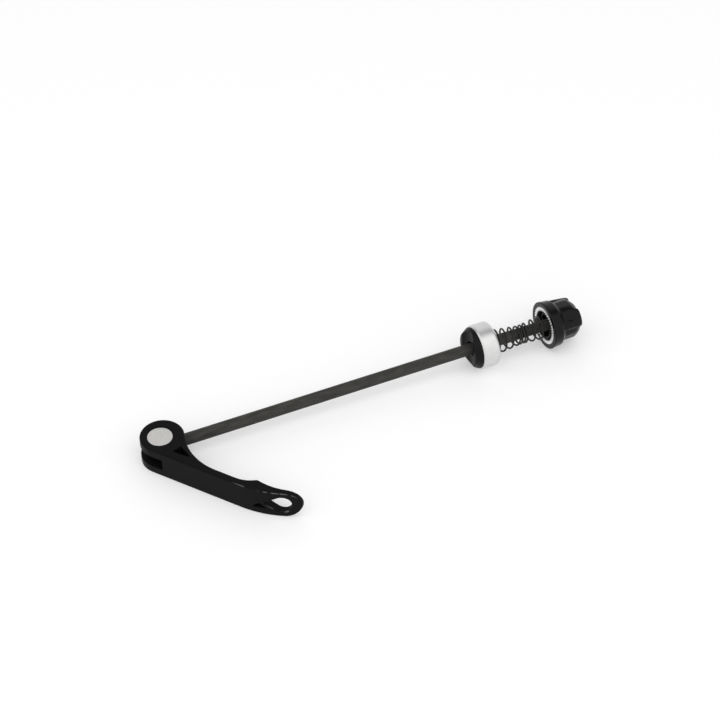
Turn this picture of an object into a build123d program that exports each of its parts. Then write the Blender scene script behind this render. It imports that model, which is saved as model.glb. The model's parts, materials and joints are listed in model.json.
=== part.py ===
from build123d import *
from math import acos, asin, cos, degrees, radians, sin, sqrt, tan
import os

# Rear wheel quick release skewer, lying as it comes to rest when it is out of the wheel.
# X runs along the rod from the lever to the nut, Z is the axis that the lever turns on,
# and the origin is on the rod, midway between the clamping faces of a closed skewer.
# All sizes are in millimetres and angles in degrees.

# What the skewer clamps
HUB_WIDTH = 135.0
DROPOUT_THICKNESS = 6.0

# Rod and the cross barrel that it is screwed into
ROD_DIAMETER = 5.0
ROD_CHAMFER = 0.4
ROD_SOCKET_DEPTH = 8.0
ROD_END_RECESS = 2.6
PIN_DIAMETER = 10.6
PIN_LENGTH = 12.0
PIN_CHAMFER = 0.3

# Lever: a round cam boss, a flat arm and a curved paddle
LEVER_WIDTH = 12.8
LEVER_REST_ANGLE = 51.8
LEVER_SWING = 236.0
LEVER_EDGE_ROUND = 0.6
CAM_RADIUS = 8.9
CAM_OFFSET = 0.85
CAM_PHASE = 46.0
ARM_THICKNESS = 3.0
ARM_END = 37.5
NECK_RADIUS = 25.0
SLOT_WIDTH = 5.4
PADDLE_START = 41.0
PADDLE_RADIUS = 44.0
PADDLE_END = 64.6
PADDLE_TIP_THICKNESS = 2.0
GRIP_BUMP_AT = 45.6
GRIP_BUMP_THICKNESS = 5.9
GRIP_BUMP_ROUND = 1.5
GRIP_SCALLOP_RADIUS = 25.4
NECK_WINDOW = ((8.7, -4.9), (10.3, -0.9), (17.2, -4.4))
WINDOW_ROUND = 0.4
EYE_AT = 57.8
EYE_RADIUS = 3.8
EYE_TAIL = 6.6
EYE_TAIL_RADIUS = 0.8
EYE_CHAMFER = 0.5
PADDLE_WINDOW = ((45.4, -3.3), (48.6, -0.4), (51.9, -2.9))

# Plastic saddle that the cam presses on
SADDLE_RIM = 0.6
SADDLE_HEIGHT = 3.3
SADDLE_NOSE_RADIUS = 7.3
SADDLE_NOSE_ROUND = 0.4
SADDLE_SEAT = 1.6
SADDLE_BORE = 6.4
SADDLE_PLUG_RADIUS = 7.0
SADDLE_PLUG_DEPTH = 3.0
SADDLE_TURN = -8.0

# Turned end cap
CAP_RIM = 3.2
CAP_LENGTH = 7.8
CAP_CHAMFER = 0.55
CAP_ROUND = 1.5
CAP_RECESS_DEPTH = 3.0
CAP_TEETH = 36
CAP_TOOTH_LENGTH = 1.3

# Conical centring springs
SPRING_WIRE = 0.8
SPRING_WIDE_RADIUS = 5.55
SPRING_NARROW_RADIUS = 3.75
SPRING_LENGTH = 16.3
SPRING_TURNS = 4.6
SPRING_WIRE_SIDES = 6
SPRING_SAG = 0.7
LEVER_SIDE_SPRING_TURN = 100.0
NUT_SIDE_SPRING_TURN = 200.0

# Adjusting nut with its pressed toothed ring
NUT_RIM = 2.15
NUT_END_RADIUS = 8.8
NUT_LENGTH = 14.6
NUT_FACE_ROUND = 0.3
NUT_END_ROUND = 1.6
NUT_BACKED_OFF = 6.4
NUT_RECESS_DEPTH = 5.0
NUT_FLANGE = 4.3
NUT_RAMP = 1.6
KNOB_RADIUS = 8.4
RIB_COUNT = 3
RIB_STEP = 0.15
RIB_WIDTH = 2.4
RIB_SIDE_ANGLE = 66.0
RIB_TURN = 24.0
FLAT_RADIUS = 8.3
FLAT_END_RADIUS = 7.95
FLAT_TURN = 72.0
NOTCH_LENGTH = 2.2
NOTCH_WIDTH = 8.0
NOTCH_FLOOR = 4.0
RING_WIDTH = 1.9
RING_THICKNESS = 2.0
RING_TEETH = 36
TOOTH_DEPTH = 0.45

# Fits
RUNNING_CLEARANCE = 0.03
PRESS_CLEARANCE = 0.01
SLIDE_CLEARANCE = 0.1
SPRING_CLEARANCE = 0.05
SPRING_MEETING_GAP = 0.3
SPRING_RECESS_CLEARANCE = 0.35
SLOT_CLEARANCE = 0.4
CUT_OVERRUN = 2.0

# Places along the rod that follow from the sizes above
clamp_half = HUB_WIDTH / 2 + DROPOUT_THICKNESS
cam_reach_closed = CAM_RADIUS + CAM_OFFSET * sin(radians(CAM_PHASE))
pivot_x = -(clamp_half + CAP_LENGTH + SADDLE_SEAT + cam_reach_closed)
nut_face_x = clamp_half + NUT_BACKED_OFF
nut_seat_x = nut_face_x + NUT_RECESS_DEPTH
cap_seat_x = nut_seat_x - 2 * (SPRING_LENGTH + SPRING_CLEARANCE) - SPRING_MEETING_GAP
cap_clamp_x = cap_seat_x + CAP_RECESS_DEPTH
cap_back_x = cap_clamp_x - CAP_LENGTH
rod_radius = ROD_DIAMETER / 2
recess_radius = SPRING_WIDE_RADIUS + SPRING_WIRE / 2 + SPRING_RECESS_CLEARANCE
cap_radius = recess_radius + CAP_RIM
saddle_radius = cap_radius - CAP_CHAMFER
ring_outer_radius = recess_radius + RING_WIDTH
nut_radius = ring_outer_radius + NUT_RIM
pin_radius = PIN_DIAMETER / 2
rod_start_x = pivot_x + pin_radius - ROD_SOCKET_DEPTH
rod_end_x = nut_face_x + NUT_LENGTH - ROD_END_RECESS

os.makedirs("parts", exist_ok=True)


def save(piece, name):
    """Labels a finished piece and writes it as one STEP file."""
    piece.part.label = name
    export_step(piece.part, f"parts/{name}.step")


# Rod: ground steel bar, its far end is threaded to its full diameter
with BuildPart() as rod:
    with BuildSketch(Plane.YZ.offset(rod_start_x)):
        Circle(rod_radius)
    extrude(amount=rod_end_x - rod_start_x)
    chamfer(rod.edges().filter_by(GeomType.CIRCLE), ROD_CHAMFER)
save(rod, "rod")


# Cam pin: the cross barrel, with a blind socket for the rod in its side
with BuildPart() as cam_pin:
    with BuildSketch(Plane((pivot_x, 0, -PIN_LENGTH / 2))):
        Circle(pin_radius)
    extrude(amount=PIN_LENGTH)
    chamfer(cam_pin.edges().filter_by(GeomType.CIRCLE), PIN_CHAMFER)
    with BuildSketch(Plane.YZ.offset(rod_start_x - RUNNING_CLEARANCE)):
        Circle(rod_radius + PRESS_CLEARANCE)
    extrude(amount=PIN_DIAMETER, mode=Mode.SUBTRACT)
save(cam_pin, "cam_pin")


# Lever: drawn in its own plane, with its local X along the arm and the pivot at its origin
arm_direction = (cos(radians(LEVER_REST_ANGLE)), -sin(radians(LEVER_REST_ANGLE)), 0)
lever_plane = Plane((pivot_x, 0, 0), x_dir=arm_direction, z_dir=(0, 0, 1))
boss = Vector(CAM_OFFSET * cos(radians(CAM_PHASE)), CAM_OFFSET * sin(radians(CAM_PHASE)))
outer_face_y = boss.Y - CAM_RADIUS
inner_face_y = outer_face_y + ARM_THICKNESS
neck_y = inner_face_y + NECK_RADIUS
neck_x = boss.X + sqrt((CAM_RADIUS + NECK_RADIUS) ** 2 - (neck_y - boss.Y) ** 2)
neck_angle = degrees(acos((neck_x - boss.X) / (CAM_RADIUS + NECK_RADIUS)))
paddle_sweep = degrees(asin((PADDLE_END + LEVER_EDGE_ROUND - PADDLE_START)
                            / (PADDLE_RADIUS - PADDLE_TIP_THICKNESS)))
paddle_center_y = outer_face_y + PADDLE_RADIUS


def paddle_point(angle, height=0.0):
    """Point on the paddle's outer face at an angle along its arc, raised towards the inner face."""
    reach = PADDLE_RADIUS - height
    return (PADDLE_START + reach * sin(radians(angle)), paddle_center_y - reach * cos(radians(angle)))


def mirror_y(point):
    """The same point on the other side of the lever's middle line."""
    return (point[0], -point[1])


def eye_outline(grow):
    """Draws the drop shaped eye, grown on all sides."""
    radius = EYE_RADIUS + grow
    tail_radius = EYE_TAIL_RADIUS + grow
    turn = acos((radius - tail_radius) / EYE_TAIL)
    side = (-radius * cos(turn), radius * sin(turn))
    tail_side = (-EYE_TAIL - tail_radius * cos(turn), tail_radius * sin(turn))
    with BuildLine() as outline:
        ThreePointArc(side, (radius, 0), mirror_y(side))
        Line(mirror_y(side), mirror_y(tail_side))
        ThreePointArc(mirror_y(tail_side), (-EYE_TAIL - tail_radius, 0), tail_side)
        Line(tail_side, side)
    make_face(outline.edges())


tip_outer = paddle_point(paddle_sweep)
tip_inner = paddle_point(paddle_sweep, PADDLE_TIP_THICKNESS)
bump = (GRIP_BUMP_AT, outer_face_y + GRIP_BUMP_THICKNESS)
eye_angle = degrees(asin((EYE_AT - PADDLE_START) / PADDLE_RADIUS))
eye_origin = lever_plane.from_local_coords((*paddle_point(eye_angle), 0))
eye_outward = lever_plane.from_local_coords(
    (*paddle_point(eye_angle, -1.0), 0)) - eye_origin
eye_plane = Plane(eye_origin, x_dir=eye_outward.cross(Vector(0, 0, 1)) * -1, z_dir=eye_outward)
tip_plane = Plane((pivot_x, 0, 0), x_dir=arm_direction,
                  z_dir=Vector(arm_direction).cross(Vector(0, 0, 1)))
rod_slot_half = rod_radius + SLOT_CLEARANCE
slot_reach = CAM_RADIUS + CAM_OFFSET + CUT_OVERRUN
rod_open_angle = LEVER_REST_ANGLE + LEVER_SWING - 360
web_angle = (LEVER_REST_ANGLE + rod_open_angle) / 2
web_root = Vector(rod_slot_half / sin(radians(LEVER_REST_ANGLE - web_angle)), 0).rotate(Axis.Z, web_angle)
web_side = Vector(2 * slot_reach, 0)

with BuildPart() as lever:
    with BuildSketch(lever_plane.offset(-LEVER_WIDTH / 2)) as lever_outline:
        with BuildLine():
            Line((boss.X, outer_face_y), (PADDLE_START, outer_face_y))
            JernArc((PADDLE_START, outer_face_y), (1, 0), PADDLE_RADIUS, paddle_sweep)
            Line(tip_outer, tip_inner)
            RadiusArc(tip_inner, bump, GRIP_SCALLOP_RADIUS)
            TangentArc((ARM_END, inner_face_y), bump, tangent=(1, 0))
            Line((ARM_END, inner_face_y), (neck_x, inner_face_y))
            CenterArc((neck_x, neck_y), NECK_RADIUS, 180 + neck_angle, 90 - neck_angle)
            CenterArc((boss.X, boss.Y), CAM_RADIUS, neck_angle, 270 - neck_angle)
        make_face()
        bump_corner = lever_outline.vertices().sort_by_distance((*bump, 0))[0]
        fillet(bump_corner, GRIP_BUMP_ROUND)
    extrude(amount=LEVER_WIDTH)
    # The paddle ends in a full half round, seen square on
    with BuildSketch(tip_plane):
        with Locations((PADDLE_END - LEVER_WIDTH / 2, 0)):
            Circle(LEVER_WIDTH / 2)
        with Locations((PADDLE_END - LEVER_WIDTH / 2, 0)):
            Rectangle(2 * PADDLE_END, LEVER_WIDTH, align=(Align.MAX, Align.CENTER))
    extrude(amount=PADDLE_END, both=True, mode=Mode.INTERSECT)
    fillet(lever.edges().filter_by(Axis.Z, reverse=True), LEVER_EDGE_ROUND)
    # Bore for the cam pin through both ears
    with BuildSketch(lever_plane.offset(-LEVER_WIDTH)):
        Circle(pin_radius + RUNNING_CLEARANCE)
    extrude(amount=2 * LEVER_WIDTH, mode=Mode.SUBTRACT)
    # Slot between the ears for the rod, round from one end of the swing to the other
    with BuildSketch(lever_plane.offset(-SLOT_WIDTH / 2)):
        Circle(slot_reach)
        with BuildLine():
            Polyline(web_root, web_root + web_side.rotate(Axis.Z, LEVER_REST_ANGLE),
                     web_root + web_side.rotate(Axis.Z, rod_open_angle), close=True)
        make_face(mode=Mode.SUBTRACT)
    extrude(amount=SLOT_WIDTH, mode=Mode.SUBTRACT)
    # Window in the neck, and the eye and window in the paddle
    with BuildSketch(lever_plane.offset(-LEVER_WIDTH)) as neck_window:
        with BuildLine():
            Polyline(*NECK_WINDOW, close=True)
        make_face()
        fillet(neck_window.vertices(), WINDOW_ROUND)
    extrude(amount=2 * LEVER_WIDTH, mode=Mode.SUBTRACT)
    with BuildSketch(eye_plane.offset(-LEVER_WIDTH)) as paddle_window:
        with BuildLine():
            Polyline(*((along - EYE_AT, up) for along, up in PADDLE_WINDOW), close=True)
        make_face()
        fillet(paddle_window.vertices(), WINDOW_ROUND)
    extrude(amount=2 * LEVER_WIDTH, mode=Mode.SUBTRACT)
    with BuildSketch(eye_plane.offset(-LEVER_WIDTH)):
        eye_outline(0)
    extrude(amount=2 * LEVER_WIDTH, mode=Mode.SUBTRACT)
    with BuildSketch(eye_plane):
        eye_outline(EYE_CHAMFER)
    extrude(amount=-EYE_CHAMFER, taper=45, mode=Mode.SUBTRACT)
save(lever, "lever")


# Cam saddle: moulded cone with a round groove across its nose and a plug into the end cap
saddle_nose_x = cap_back_x - SADDLE_HEIGHT
saddle_plane = Plane((cap_back_x - SADDLE_SEAT, 0, 0), x_dir=(1, 0, 0),
                     z_dir=(0, -sin(radians(SADDLE_TURN)), cos(radians(SADDLE_TURN))))
with BuildPart() as cam_saddle:
    with BuildSketch(Plane.XZ) as saddle_section:
        with BuildLine():
            Polyline((saddle_nose_x, SADDLE_BORE / 2), (saddle_nose_x, SADDLE_NOSE_RADIUS),
                     (cap_back_x - SADDLE_RIM, saddle_radius), (cap_back_x, saddle_radius),
                     (cap_back_x, SADDLE_PLUG_RADIUS), (cap_back_x + SADDLE_PLUG_DEPTH, SADDLE_PLUG_RADIUS),
                     (cap_back_x + SADDLE_PLUG_DEPTH, SADDLE_BORE / 2), close=True)
        make_face()
        nose = saddle_section.vertices().group_by(Axis.X)[0].sort_by(Axis.Y)[-1]
        fillet(nose, SADDLE_NOSE_ROUND)
    revolve(axis=Axis.X)
    with BuildSketch(saddle_plane.offset(-saddle_radius)):
        with Locations((-CAM_RADIUS, 0)):
            Circle(CAM_RADIUS)
    extrude(amount=2 * saddle_radius, mode=Mode.SUBTRACT)
save(cam_saddle, "cam_saddle")


def toothed_face(face_x, inner_radius, outer_radius, count):
    """Presses radial V teeth into a clamping face of the current piece, open at the inside."""
    tooth_side = TOOTH_DEPTH * sqrt(2)
    groove = outer_radius - inner_radius + CUT_OVERRUN
    with Locations(Plane.YZ.offset(face_x)):
        with PolarLocations(outer_radius - groove / 2, count):
            Box(groove, tooth_side, tooth_side, rotation=(45, 0, 0), mode=Mode.SUBTRACT)


# End cap: turned collar with a seat for the saddle behind and a toothed clamping face in front
saddle_seat_depth = SADDLE_PLUG_DEPTH + PRESS_CLEARANCE
with BuildPart() as end_cap:
    with BuildSketch(Plane.XZ) as cap_section:
        with BuildLine():
            Polyline((cap_back_x, SADDLE_PLUG_RADIUS + PRESS_CLEARANCE), (cap_back_x, cap_radius),
                     (cap_clamp_x, cap_radius), (cap_clamp_x, recess_radius),
                     (cap_seat_x, recess_radius), (cap_seat_x, rod_radius + SLIDE_CLEARANCE),
                     (cap_back_x + saddle_seat_depth, rod_radius + SLIDE_CLEARANCE),
                     (cap_back_x + saddle_seat_depth, SADDLE_PLUG_RADIUS + PRESS_CLEARANCE), close=True)
        make_face()
        rims = cap_section.vertices().group_by(Axis.Y)[-1].sort_by(Axis.X)
        chamfer(rims[0], CAP_CHAMFER)
        fillet(rims[-1], CAP_ROUND)
    revolve(axis=Axis.X)
    toothed_face(cap_clamp_x, recess_radius, recess_radius + CAP_TOOTH_LENGTH, CAP_TEETH)
save(end_cap, "end_cap")


def conical_spring(seat_x, direction, turn, name):
    """Winds one open ended conical spring, wide at its seat, with its narrow free end sagging."""
    wire_radius = SPRING_WIRE / 2
    rise = SPRING_LENGTH - SPRING_WIRE
    start = (seat_x + direction * (wire_radius + SPRING_CLEARANCE), 0, 0)
    along = (direction, 0, -SPRING_SAG / rise)
    cone = -degrees(asin((SPRING_WIDE_RADIUS - SPRING_NARROW_RADIUS) / rise))
    with BuildPart() as spring:
        with BuildLine() as coil:
            Helix(rise / SPRING_TURNS, rise, SPRING_WIDE_RADIUS, start, along, cone)
        wire = coil.line.rotate(Axis(start, along), turn)
        with BuildSketch(Plane(wire @ 0, z_dir=wire % 0)):
            RegularPolygon(wire_radius, SPRING_WIRE_SIDES)
        sweep(path=wire, is_frenet=True)
    save(spring, name)


conical_spring(cap_seat_x, 1, LEVER_SIDE_SPRING_TURN, "lever_side_spring")
conical_spring(nut_seat_x, -1, NUT_SIDE_SPRING_TURN, "nut_side_spring")


# Adjusting nut: a tapered knob with three flats, a raised rib beside each, and notches in its end
nut_end_x = nut_face_x + NUT_LENGTH
ring_back_x = nut_face_x + RING_THICKNESS
flange_back_x = nut_face_x + NUT_FLANGE
knob_start_x = nut_face_x + NUT_FLANGE / 2
flange_back_radius = nut_radius + (NUT_END_RADIUS - nut_radius) * NUT_FLANGE / NUT_LENGTH
rib_root_width = RIB_WIDTH + 2 * flange_back_radius / tan(radians(RIB_SIDE_ANGLE))
with BuildPart() as nut_body:
    with BuildSketch(Plane.XZ) as knob_section:
        with BuildLine():
            Polyline((knob_start_x, 0), (knob_start_x, flange_back_radius - RIB_STEP),
                     (nut_end_x, NUT_END_RADIUS), (nut_end_x, 0), close=True)
        make_face()
        rims = knob_section.vertices().filter_by(lambda corner: corner.Y > 0).sort_by(Axis.X)
        fillet(rims[-1], NUT_END_ROUND)
    revolve(axis=Axis.X)
    with BuildSketch(Plane.YZ.offset(knob_start_x)):
        Circle(KNOB_RADIUS)
        with PolarLocations(0, RIB_COUNT, RIB_TURN):
            with Locations((nut_radius, 0)):
                Trapezoid(rib_root_width, nut_radius, RIB_SIDE_ANGLE, rotation=-90,
                          align=(Align.CENTER, Align.MAX))
    extrude(amount=NUT_LENGTH, mode=Mode.INTERSECT)
    for flat in range(RIB_COUNT):
        angle = radians(FLAT_TURN + flat * 360 / RIB_COUNT)
        with BuildSketch(Plane((0, 0, 0), x_dir=(1, 0, 0), z_dir=(0, -sin(angle), cos(angle)))):
            with BuildLine():
                Polyline((flange_back_x, FLAT_RADIUS), (nut_end_x + CUT_OVERRUN, FLAT_END_RADIUS),
                         (nut_end_x + CUT_OVERRUN, nut_radius + CUT_OVERRUN),
                         (flange_back_x, nut_radius + CUT_OVERRUN), close=True)
            make_face()
        extrude(amount=nut_radius, both=True, mode=Mode.SUBTRACT)
    with BuildSketch(Plane.YZ.offset(nut_end_x - NOTCH_LENGTH)):
        with PolarLocations(NOTCH_FLOOR, RIB_COUNT, FLAT_TURN):
            Rectangle(nut_radius, NOTCH_WIDTH, align=(Align.MIN, Align.CENTER))
    extrude(amount=NOTCH_LENGTH + CUT_OVERRUN, mode=Mode.SUBTRACT)
    with BuildSketch(Plane.XZ) as flange_section:
        with BuildLine():
            Polyline((nut_face_x, 0), (nut_face_x, nut_radius), (flange_back_x, flange_back_radius),
                     (flange_back_x + NUT_RAMP, KNOB_RADIUS), (flange_back_x + NUT_RAMP, 0), close=True)
        make_face()
        face_rim = flange_section.vertices().sort_by(Axis.Y)[-1]
        fillet(face_rim, NUT_FACE_ROUND)
    revolve(axis=Axis.X)
    # Recess for the spring, seat for the toothed ring and the threaded hole
    with BuildSketch(Plane.XZ):
        with BuildLine():
            Polyline((nut_face_x - CUT_OVERRUN, 0),
                     (nut_face_x - CUT_OVERRUN, ring_outer_radius + PRESS_CLEARANCE),
                     (ring_back_x, ring_outer_radius + PRESS_CLEARANCE), (ring_back_x, recess_radius),
                     (nut_seat_x, recess_radius), (nut_seat_x, rod_radius + RUNNING_CLEARANCE),
                     (nut_end_x + CUT_OVERRUN, rod_radius + RUNNING_CLEARANCE),
                     (nut_end_x + CUT_OVERRUN, 0), close=True)
        make_face()
    revolve(axis=Axis.X, mode=Mode.SUBTRACT)
save(nut_body, "nut_body")


# Toothed ring: hardened steel washer pressed into the nut's clamping face
with BuildPart() as nut_toothed_ring:
    with BuildSketch(Plane.YZ.offset(nut_face_x)):
        Circle(ring_outer_radius)
        Circle(recess_radius, mode=Mode.SUBTRACT)
    extrude(amount=RING_THICKNESS)
    toothed_face(nut_face_x, recess_radius, ring_outer_radius + CUT_OVERRUN, RING_TEETH)
save(nut_toothed_ring, "nut_toothed_ring")
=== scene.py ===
"""Quick release skewer for a bicycle wheel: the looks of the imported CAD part."""

import json
import math

import bmesh
import bpy
from mathutils import Matrix, Vector


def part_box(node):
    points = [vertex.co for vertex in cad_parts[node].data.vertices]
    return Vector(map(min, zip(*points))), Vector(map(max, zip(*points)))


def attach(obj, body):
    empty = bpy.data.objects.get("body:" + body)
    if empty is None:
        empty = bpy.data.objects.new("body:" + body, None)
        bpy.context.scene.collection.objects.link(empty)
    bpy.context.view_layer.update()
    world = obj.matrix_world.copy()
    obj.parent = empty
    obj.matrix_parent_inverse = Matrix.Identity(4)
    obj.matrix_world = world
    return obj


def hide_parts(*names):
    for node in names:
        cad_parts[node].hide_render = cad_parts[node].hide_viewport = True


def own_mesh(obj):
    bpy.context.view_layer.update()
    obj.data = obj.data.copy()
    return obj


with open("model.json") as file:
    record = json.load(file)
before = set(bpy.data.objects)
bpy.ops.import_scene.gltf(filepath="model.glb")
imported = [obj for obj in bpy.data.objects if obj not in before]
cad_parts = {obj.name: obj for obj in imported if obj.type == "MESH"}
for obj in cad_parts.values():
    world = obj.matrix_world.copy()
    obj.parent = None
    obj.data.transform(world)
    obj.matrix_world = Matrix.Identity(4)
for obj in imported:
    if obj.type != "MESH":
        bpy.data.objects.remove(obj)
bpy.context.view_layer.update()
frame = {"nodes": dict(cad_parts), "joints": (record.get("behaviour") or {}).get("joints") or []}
nodes = frame["nodes"]


# Rod: a drawn steel bar, left dark, that runs through the hub.
# Its nut end carries a rolled thread, and its other end is screwed into the cam barrel.
class Socket:
    """A shader socket that takes part in sums: each operator adds its Math node."""

    def __init__(self, finish, link):
        self.finish = finish
        self.link = link

    def math(self, operation, first, second=0.0):
        return self.finish.node("ShaderNodeMath", {"operation": operation}, {0: first, 1: second})

    def __add__(self, other):
        return self.math("ADD", self, other)

    def __radd__(self, other):
        return self.math("ADD", other, self)

    def __sub__(self, other):
        return self.math("SUBTRACT", self, other)

    def __rsub__(self, other):
        return self.math("SUBTRACT", other, self)

    def __mul__(self, other):
        return self.math("MULTIPLY", self, other)

    def __rmul__(self, other):
        return self.math("MULTIPLY", other, self)

    def __abs__(self):
        return self.math("ABSOLUTE", self)

    def sine(self):
        return self.math("SINE", self)


class Finish:
    """A material or world with its main shader, and the one way in which nodes are added to it."""

    def __init__(self, owner, shader):
        owner.use_nodes = True
        self.owner = owner
        self.tree = owner.node_tree
        self.shader = self.tree.nodes[shader]

    def fill(self, sockets, inputs):
        for name, value in inputs.items():
            if isinstance(value, Socket):
                self.tree.links.new(value.link, sockets[name])
            else:
                sockets[name].default_value = value

    def node(self, kind, settings, inputs, output=0):
        made = self.tree.nodes.new(kind)
        for name, value in settings.items():
            setattr(made, name, value)
        self.fill(made.inputs, inputs)
        return Socket(self, made.outputs[output])

    def place(self, scale=(1, 1, 1)):
        """The surface's own coordinates in metres, stretched by a scale along each axis."""
        own = self.node("ShaderNodeTexCoord", {}, {}, "Object")
        return self.node("ShaderNodeMapping", {}, {"Vector": own, "Scale": scale})

    def along(self, vector, direction):
        """How far a vector goes in a direction."""
        return self.node("ShaderNodeVectorMath", {"operation": "DOT_PRODUCT"}, {0: vector, 1: direction}, 1)

    def length(self, vector):
        return self.node("ShaderNodeVectorMath", {"operation": "LENGTH"}, {0: vector}, 1)

    def noise(self, scale, detail=3.0, roughness=0.55):
        """Cloudy noise with about scale spots to the metre along each axis."""
        sockets = {"Vector": self.place(scale), "Scale": 1.0, "Detail": detail, "Roughness": roughness}
        return self.node("ShaderNodeTexNoise", {}, sockets)

    def blend(self, share, first, second):
        return self.node("ShaderNodeMix", {"data_type": "RGBA"}, {0: share, 6: first, 7: second}, 2)

    def band(self, value, low, high):
        """Spreads the part of a value from low to high over 0 to 1."""
        sockets = {"Value": value, "From Min": low, "From Max": high}
        return self.node("ShaderNodeMapRange", {"interpolation_type": "SMOOTHSTEP"}, sockets)

    def bump(self, height, depth):
        return self.node("ShaderNodeBump", {}, {"Height": height, "Distance": depth})

    def shade(self, **inputs):
        named = {name.replace("_", " "): value for name, value in inputs.items()}
        self.fill(self.shader.inputs, named)

    def cover(self, piece):
        piece.data.materials.clear()
        piece.data.materials.append(self.owner)


def new_finish(name):
    return Finish(bpy.data.materials.new(name), "Principled BSDF")


def turn_profile(shape, profile, closed, steps, turns, advance):
    """Turns a profile of (x, radius) points about the rod's axis, moving it along by advance a turn."""
    points = [shape.verts.new((x, 0.0, radius)) for x, radius in profile]
    edges = [shape.edges.new(pair) for pair in zip(points, points[1:])]
    if closed:
        edges.append(shape.edges.new((points[-1], points[0])))
    bmesh.ops.spin(
        shape,
        geom=points + edges,
        cent=(0.0, 0.0, 0.0),
        axis=(1.0, 0.0, 0.0),
        dvec=(advance / steps, 0.0, 0.0),
        angle=2.0 * math.pi * turns,
        steps=steps * turns,
    )


rod_low, rod_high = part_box("rod")
rod_radius = rod_high.z
rod_chamfer = 0.0004
rod_steps = 64
rod_crease = math.radians(30)
thread_pitch = 0.0008
thread_depth = 0.00042
thread_turns = 32
thread_end_turns = 2
thread_steps = 48
thread_x = rod_high.x - (thread_turns + thread_end_turns) * thread_pitch
core_radius = rod_radius - thread_depth
rod_profile = [
    (rod_low.x, 0.0),
    (rod_low.x, rod_radius - rod_chamfer),
    (rod_low.x + rod_chamfer, rod_radius),
    (thread_x, rod_radius),
    (thread_x + thread_depth, core_radius),
    (rod_high.x - rod_chamfer, core_radius),
    (rod_high.x, core_radius - rod_chamfer),
    (rod_high.x, 0.0),
]
ridge_x = thread_x + 0.3 * thread_pitch
ridge_foot = 0.42 * thread_pitch
ridge_crest = 0.07 * thread_pitch
ridge_sink = 0.00003
ridge_profile = [
    (ridge_x - ridge_foot, core_radius - ridge_sink),
    (ridge_x - ridge_crest, rod_radius - ridge_sink),
    (ridge_x + ridge_crest, rod_radius - ridge_sink),
    (ridge_x + ridge_foot, core_radius - ridge_sink),
]
weld_distance = 1e-6
rod_shape = bmesh.new()
turn_profile(rod_shape, rod_profile, False, rod_steps, 1, 0.0)
turn_profile(rod_shape, ridge_profile, True, thread_steps, thread_turns, thread_pitch)
bmesh.ops.remove_doubles(rod_shape, verts=rod_shape.verts, dist=weld_distance)
bmesh.ops.holes_fill(rod_shape, edges=rod_shape.edges, sides=len(ridge_profile))
bmesh.ops.recalc_face_normals(rod_shape, faces=rod_shape.faces)
rod_mesh = bpy.data.meshes.new("threaded_rod")
rod_shape.to_mesh(rod_mesh)
rod_shape.free()
rod_mesh.shade_smooth()
rod_mesh.set_sharp_from_angle(angle=rod_crease)
threaded_rod = bpy.data.objects.new("threaded_rod", rod_mesh)
bpy.context.scene.collection.objects.link(threaded_rod)

drawn_steel = new_finish("drawn_steel")
drawn_dark = (0.026, 0.0255, 0.0235, 1)
drawn_pale = (0.064, 0.062, 0.057, 1)
drawn_streaks = drawn_steel.noise((140, 2600, 2600))
drawn_mottle = drawn_steel.band(drawn_steel.noise((150, 700, 700), 4.0, 0.6), 0.3, 0.72)
drawn_steel.shade(
    Base_Color=drawn_steel.blend(drawn_mottle * 0.55 + drawn_streaks * 0.45, drawn_dark, drawn_pale),
    Metallic=0.15,
    Roughness=0.42 + drawn_streaks * 0.22,
    Specular_IOR_Level=0.12,
    Normal=drawn_steel.bump(drawn_streaks, 0.00002),
)
drawn_steel.cover(threaded_rod)
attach(threaded_rod, "rod")
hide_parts("rod")


# Cam barrel: a bright steel pin across the lever's ears, faced flat in a lathe.
# It is tapped through its side for the rod, and the lever turns on it.
# Between the ears its barrel is painted dark as painted shade, and its two ends keep the bright steel.
pin_low, pin_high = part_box("cam_pin")
pin_middle = (pin_low + pin_high) / 2
faced_steel = new_finish("faced_steel")
pin_offset = faced_steel.node(
    "ShaderNodeVectorMath",
    {"operation": "SUBTRACT"},
    {0: faced_steel.place((1, 1, 0)), 1: (pin_middle.x, pin_middle.y, 0)},
)
facing_pitch = 0.0002
facing_rings = (faced_steel.length(pin_offset) * (2 * math.pi / facing_pitch)).sine()
facing_smears = faced_steel.noise((900, 900, 900), 4.0, 0.6)
pin_bright = faced_steel.blend(facing_smears, (0.54, 0.53, 0.51, 1), (0.74, 0.73, 0.71, 1))
# Painted shade: the barrel is darkened where it lies between the ears.
pin_painted_shade = (0.035, 0.033, 0.030, 1)
painted_shade_height = 0.0054
painted_shade_fade_height = 0.0058
pin_height = abs(faced_steel.along(faced_steel.place(), (0, 0, 1)))
pin_unshaded_share = faced_steel.band(pin_height, painted_shade_height, painted_shade_fade_height)
faced_steel.shade(
    Base_Color=faced_steel.blend(pin_unshaded_share, pin_painted_shade, pin_bright),
    Metallic=1.0,
    Roughness=0.26 + facing_smears * 0.14,
    Normal=faced_steel.bump(facing_rings * 0.5 + facing_smears, 0.000004),
)
faced_steel.cover(nodes["cam_pin"])


# Lever: one forged alloy arm with two ears and a paddle, tumbled and finished in satin black.
# The outsides of its ears are the cam that presses on the saddle.
# Along the outer edges of the paddle the black is painted paler in broken spots: worn paint and a painted
# edge highlight.
satin_black = new_finish("satin_black")
black_grain = satin_black.noise((3800, 3800, 3800), 2.0, 0.5)
black_cloud = satin_black.noise((160, 160, 160), 4.0, 0.6)
black_skin = satin_black.blend(black_cloud, (0.003, 0.003, 0.0035, 1), (0.006, 0.006, 0.0065, 1))
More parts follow.
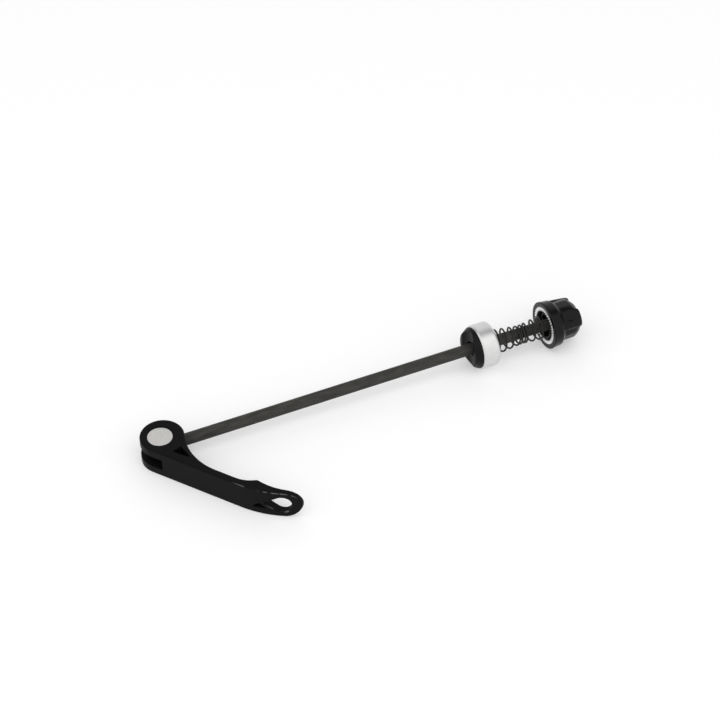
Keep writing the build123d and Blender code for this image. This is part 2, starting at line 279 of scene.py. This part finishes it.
# Worn paint and painted highlight: the paddle's outer leaning edges are painted paler in spots.
pale_edge_black = (0.12, 0.112, 0.104, 1)
arm_direction = (0.6184, -0.7859, 0)
outer_direction = (-0.7859, -0.6184, 0)
paddle_near = 0.034
paddle_far = 0.044
pivot_reach = pin_middle.x * arm_direction[0]
arm_reach = satin_black.along(satin_black.place(), arm_direction) - pivot_reach
paddle_share = satin_black.band(arm_reach, paddle_near, paddle_far)
lever_facing = satin_black.node("ShaderNodeTexCoord", {}, {}, "Normal")
# An edge is where the surface leans, neither upright as the sides are nor level as the flats are.
edge_tilt = abs(satin_black.along(lever_facing, (0, 0, 1)))
edge_share = satin_black.band(edge_tilt, 0.3, 0.55) * (1 - satin_black.band(edge_tilt, 0.8, 0.97))
outer_share = satin_black.band(satin_black.along(lever_facing, outer_direction), 0.3, 0.55)
pale_edge_spots = satin_black.band(satin_black.noise((380, 380, 380), 3.0, 0.6), 0.44, 0.58)
pale_edge_share = edge_share * outer_share * paddle_share * pale_edge_spots
satin_black.shade(
    Base_Color=satin_black.blend(pale_edge_share, black_skin, pale_edge_black),
    Roughness=0.40 + black_grain * 0.08 + black_cloud * 0.06,
    Specular_IOR_Level=0.06,
    Normal=satin_black.bump(black_grain, 0.00001),
)
satin_black.cover(nodes["lever"])


# Cam saddle: a moulded plastic seat, hollowed to the cam's round and pressed into the end cap.
# It keeps the steel and alloy from rubbing, so it is left as moulded, with a fine sparked skin.
moulded_plastic = new_finish("moulded_plastic")
spark_skin = moulded_plastic.noise((2600, 2600, 2600), 2.0, 0.6)
moulded_plastic.shade(
    Base_Color=moulded_plastic.blend(spark_skin, (0.002, 0.002, 0.002, 1), (0.005, 0.005, 0.005, 1)),
    Roughness=0.33 + spark_skin * 0.14,
    Specular_IOR_Level=0.13,
    Normal=moulded_plastic.bump(spark_skin, 0.000015),
)
moulded_plastic.cover(nodes["cam_saddle"])


# End cap: a collar turned from bright alloy bar, with its feed marks running round it.
# Its toothed face bites on the frame, and the saddle fills its other end.
turned_alloy = new_finish("turned_alloy")
feed_pitch = 0.00022
cap_along = turned_alloy.along(turned_alloy.place(), (1, 0, 0))
feed_marks = (cap_along * (2 * math.pi / feed_pitch)).sine()
alloy_cloud = turned_alloy.noise((500, 500, 500), 4.0, 0.6)
turned_alloy.shade(
    Base_Color=turned_alloy.blend(alloy_cloud, (0.62, 0.62, 0.62, 1), (0.72, 0.72, 0.71, 1)),
    Metallic=1.0,
    Roughness=0.30 + alloy_cloud * 0.12,
    Normal=turned_alloy.bump(feed_marks + alloy_cloud, 0.000004),
)
turned_alloy.cover(nodes["end_cap"])


# Springs: two conical springs of blackened wire, wound open and left-handed, that centre the wheel.
# The wide end of each sits in the cap or the nut, and about one turn of its narrow end is closed.
# The narrow end hangs loose, so each spring sags a little on the rod.
spring_wire_radius = 0.0004
spring_wire_roundness = 4
spring_wire_crease = math.radians(50)
spring_wide_radius = 0.00555
spring_narrow_radius = 0.00375
spring_open_turns = 4.2
spring_closed_turns = 1.1
spring_turn_steps = 48
spring_rise = 0.0155
spring_closed_rise = 0.00105
spring_sag = 0.0005
spring_drop = 0.00025
spring_seat_gap = 0.00012

blackened_wire = new_finish("blackened_wire")
wire_scale = blackened_wire.noise((2200, 2200, 2200), 3.0, 0.6)
blackened_wire.shade(
    Base_Color=blackened_wire.blend(wire_scale, (0.008, 0.008, 0.008, 1), (0.024, 0.023, 0.021, 1)),
    Metallic=0.3,
    Roughness=0.34 + wire_scale * 0.2,
    Specular_IOR_Level=0.35,
)


def wind_spring(name, node, seat_x, direction, start_angle):
    """Winds one spring from its seat to its free end and puts it in the place of a CAD node."""
    start = Vector((seat_x + direction * (spring_wire_radius + spring_seat_gap), 0, -spring_drop))
    along = Vector((direction, 0, -spring_sag / spring_rise)).normalized()
    side = Vector((spring_sag / spring_rise, 0, direction)).normalized()
    across = side.cross(along)
    turns = spring_open_turns + spring_closed_turns
    steps = round(turns * spring_turn_steps)
    curve = bpy.data.curves.new(name, "CURVE")
    curve.dimensions = "3D"
    wire = curve.splines.new("POLY")
    wire.points.add(steps)
    for step, point in enumerate(wire.points):
        wound = turns * step / steps
        open_share = min(wound / spring_open_turns, 1)
        closed_share = max(wound - spring_open_turns, 0) / spring_closed_turns
        rise = (spring_rise - spring_closed_rise) * open_share + spring_closed_rise * closed_share
        angle = start_angle + 2 * math.pi * wound
        radius = spring_wide_radius + (spring_narrow_radius - spring_wide_radius) * rise / spring_rise
        spot = start + along * rise
        spot += (side * math.cos(angle) + across * math.sin(angle)) * radius
        point.co = (*spot, 1)
    curve.bevel_depth = spring_wire_radius
    curve.bevel_resolution = spring_wire_roundness
    curve.use_fill_caps = True
    route = bpy.data.objects.new(name + "_route", curve)
    mesh = bpy.data.meshes.new_from_object(route)
    bpy.data.objects.remove(route)
    mesh.shade_smooth()
    mesh.set_sharp_from_angle(angle=spring_wire_crease)
    spring = bpy.data.objects.new(name, mesh)
    bpy.context.scene.collection.objects.link(spring)
    blackened_wire.cover(spring)
    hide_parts(node)
    return spring


cap_seat_x = 0.0519
cap_spring_start = math.radians(240)
cap_spring = wind_spring("cap_spring", "lever_side_spring", cap_seat_x, 1, cap_spring_start)
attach(cap_spring, "cap_carrier")
nut_seat_x = 0.0849
nut_spring_start = math.radians(208)
nut_spring = wind_spring("nut_spring", "nut_side_spring", nut_seat_x, -1, nut_spring_start)
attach(nut_spring, "nut_carrier")
nut_travel = next(joint for joint in frame["joints"] if joint["name"] == "nut_travel")
nut_spring_length = nut_seat_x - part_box("nut_side_spring")[0].x
1 + nut_travel["range_m"][0] / nut_spring_length
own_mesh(nut_spring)


# Adjusting nut: die cast alloy with rounded edges and grip ribs, under a semi-gloss black coat.
# Three lobes stand round a coned core at its end, and a finger and thumb turn it by them.
# It screws onto the rod, and stands ten degrees further round on its thread than the CAD solid.
nut_low, nut_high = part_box("nut_body")
flange_length = 0.0043
flange_end = nut_low.x + flange_length
notch_depth = 0.0022
notch_x = nut_high.x - notch_depth
nut_core_overlap = 0.0006
nut_core_foot_radius = 0.0078
nut_core_tip_radius = 0.0064
nut_core_hole_radius = 0.0032
nut_core_steps = 64
nut_core_profile = [
    (notch_x - nut_core_overlap, nut_core_hole_radius),
    (notch_x - nut_core_overlap, nut_core_foot_radius),
    (notch_x, nut_core_foot_radius),
    (nut_high.x, nut_core_tip_radius),
    (nut_high.x, nut_core_hole_radius),
]
nut_turn = Matrix.Rotation(math.radians(10), 3, "X")
nut_shape = bmesh.new()
nut_shape.from_mesh(nodes["nut_body"].data)
turn_profile(nut_shape, nut_core_profile, True, nut_core_steps, 1, 0.0)
bmesh.ops.recalc_face_normals(nut_shape, faces=nut_shape.faces)
bmesh.ops.rotate(nut_shape, cent=(0, 0, 0), matrix=nut_turn, verts=nut_shape.verts)
nut_mesh = bpy.data.meshes.new("cast_nut")
nut_shape.to_mesh(nut_mesh)
nut_shape.free()
cast_nut = bpy.data.objects.new("cast_nut", nut_mesh)
bpy.context.scene.collection.objects.link(cast_nut)
nut_skin = cast_nut.modifiers.new("skin", "REMESH")
nut_skin.mode = "VOXEL"
nut_skin.voxel_size = 0.0002
bpy.context.view_layer.update()
skinned_nut = cast_nut.evaluated_get(bpy.context.evaluated_depsgraph_get())
nut_mesh = bpy.data.meshes.new_from_object(skinned_nut)
cast_nut.modifiers.clear()
cast_nut.data = nut_mesh

# The casting's edges soften more towards the lobes, and the tapped hole keeps its size.
hole_margin = 0.0042
smoothing_rounds = 110
smoothing_growth = 0.4
smoothing_factor = 0.5
nut_shape = bmesh.new()
nut_shape.from_mesh(nut_mesh)
for smoothing in range(smoothing_rounds):
    soft_share = (smoothing / smoothing_rounds) ** smoothing_growth
    soft_from = flange_end + (notch_x - flange_end) * soft_share
    soft_corners = [
        corner
        for corner in nut_shape.verts
        if corner.co.x > soft_from and math.hypot(corner.co.y, corner.co.z) > hole_margin
    ]
    bmesh.ops.smooth_vert(
        nut_shape,
        verts=soft_corners,
        factor=smoothing_factor,
        use_axis_x=True,
        use_axis_y=True,
        use_axis_z=True,
    )
nut_shape.to_mesh(nut_mesh)
nut_shape.free()
nut_mesh.shade_smooth()

gloss_black = new_finish("gloss_black")
coat_peel = gloss_black.noise((1500, 1500, 1500), 2.0, 0.5)
coat_cloud = gloss_black.noise((260, 260, 260), 4.0, 0.6)
gloss_black.shade(
    Base_Color=gloss_black.blend(coat_cloud, (0.002, 0.002, 0.0025, 1), (0.004, 0.004, 0.0045, 1)),
    Roughness=0.16 + coat_cloud * 0.12,
    Specular_IOR_Level=0.17,
    Normal=gloss_black.bump(coat_peel, 0.00001),
)
gloss_black.cover(cast_nut)
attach(cast_nut, "nut")
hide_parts("nut_body")


# Toothed ring: hardened steel, plated bright and pressed into the nut's face.
# Its teeth bite into the frame so that the nut can't slip.
# Painted shade darkens the teeth's inner ends, and reaches further out in the valleys between them.
plated_steel = new_finish("plated_steel")
plate_cloud = plated_steel.noise((900, 900, 900), 4.0, 0.6)
plate_bright = plated_steel.blend(plate_cloud, (0.76, 0.77, 0.78, 1), (0.88, 0.89, 0.89, 1))
# Painted shade: the ring's inner edge and the valleys between its teeth are darkened.
ring_painted_shade = (0.03, 0.028, 0.025, 1)
painted_shade_radius = 0.0065
unshaded_radius = 0.0069
painted_shade_creep = 1.0
ring_face_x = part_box("nut_toothed_ring")[0].x
ring_reach = plated_steel.length(plated_steel.place((0, 1, 1)))
ring_depth = plated_steel.along(plated_steel.place(), (1, 0, 0)) - ring_face_x
ring_unshaded_share = plated_steel.band(ring_reach - ring_depth * painted_shade_creep, painted_shade_radius, unshaded_radius)
plated_steel.shade(
    Base_Color=plated_steel.blend(ring_unshaded_share, ring_painted_shade, plate_bright),
    Metallic=0.35,
    Roughness=0.26 + plate_cloud * 0.14,
)
plated_steel.cover(nodes["nut_toothed_ring"])


# Stage: a pale paper floor that the skewer lies on, touching it at the nut, the ears and the paddle's tip.
# A wide soft light hangs in front, and the room is bright in front and overhead.
# A dark gap between the ceiling and the pale wall behind gives the black pieces their shape.
lever_low, lever_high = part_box("lever")
nut_spot = Vector((flange_end, 0, nut_low.z))
ear_spot = Vector((pin_middle.x, 0, lever_low.z))
tip_spot = Vector((lever_high.x, lever_low.y, lever_low.z))
floor_normal = (nut_spot - ear_spot).cross(ear_spot - tip_spot).normalized()
if floor_normal.z < 0:
    floor_normal.negate()
floor_gap = 0.0002
floor_side = 6.0
floor_cells = 8
bpy.ops.mesh.primitive_grid_add(x_subdivisions=floor_cells, y_subdivisions=floor_cells, size=floor_side)
floor = bpy.context.object
floor.name = "floor"
floor.location = ear_spot - floor_normal * floor_gap
floor.rotation_mode = "QUATERNION"
floor.rotation_quaternion = floor_normal.to_track_quat("Z", "Y")

floor_paper = new_finish("floor_paper")
paper_seen = floor_paper.node("ShaderNodeLightPath", {}, {}, "Is Camera Ray")
paper_gloss = floor_paper.node("ShaderNodeLightPath", {}, {}, "Is Glossy Ray")
paper_through = floor_paper.node("ShaderNodeLightPath", {}, {}, "Is Transmission Ray")
paper_shade = 0.72
floor_paper.shade(
    Base_Color=(paper_shade, paper_shade, paper_shade, 1),
    Roughness=1.0,
    Specular_IOR_Level=0.0,
    Emission_Color=(paper_seen + paper_gloss + paper_through) * (1 - paper_shade),
    Emission_Strength=1.0,
)
floor_paper.cover(floor)

room = Finish(bpy.data.worlds.new("room"), "Background")
front_level = 1.1
gap_drop = 0.95
wall_rise = 0.8
back_direction = (0.413, 0.911, 0)
room_back = room.along(room.node("ShaderNodeTexCoord", {}, {}, "Generated"), back_direction)
room_gap = room.band(room_back, 0.1, 0.32)
room_wall = room.band(room_back, 0.42, 0.62)
room_light = front_level - room_gap * gap_drop + room_wall * wall_rise
room_seen = room.node("ShaderNodeLightPath", {}, {}, "Is Camera Ray")
room.shade(Color=room_light + room_seen * (1 - room_light), Strength=1.0)
bpy.context.scene.world = room.owner

softbox = bpy.data.lights.new("softbox", "AREA")
softbox.shape = "SQUARE"
softbox.size = 1.2
softbox.energy = 2.2
softbox_lamp = bpy.data.objects.new("softbox", softbox)
softbox_lamp.location = (-0.2, -0.45, 0.9)
softbox_lamp.rotation_mode = "QUATERNION"
softbox_lamp.rotation_quaternion = softbox_lamp.location.to_track_quat("Z", "Y")
bpy.context.scene.collection.objects.link(softbox_lamp)

view_azimuth = math.radians(-24.39)
view_elevation = math.radians(43.72)
view_distance = 0.79195
view_target = Vector((0.00021, 0.01299, 0))
view_back = Vector(
    (
        math.sin(view_azimuth) * math.cos(view_elevation),
        -math.cos(view_azimuth) * math.cos(view_elevation),
        math.sin(view_elevation),
    )
)
lens = bpy.data.cameras.new("camera")
lens.lens = 95.21
lens.sensor_width = 36
lens.clip_start = 0.01
lens.clip_end = 20
camera = bpy.data.objects.new("camera", lens)
camera.location = view_target + view_back * view_distance
camera.rotation_mode = "QUATERNION"
camera.rotation_quaternion = view_back.to_track_quat("Z", "Y")
bpy.context.scene.collection.objects.link(camera)
bpy.context.scene.camera = camera
bpy.context.scene.view_settings.view_transform = "Standard"
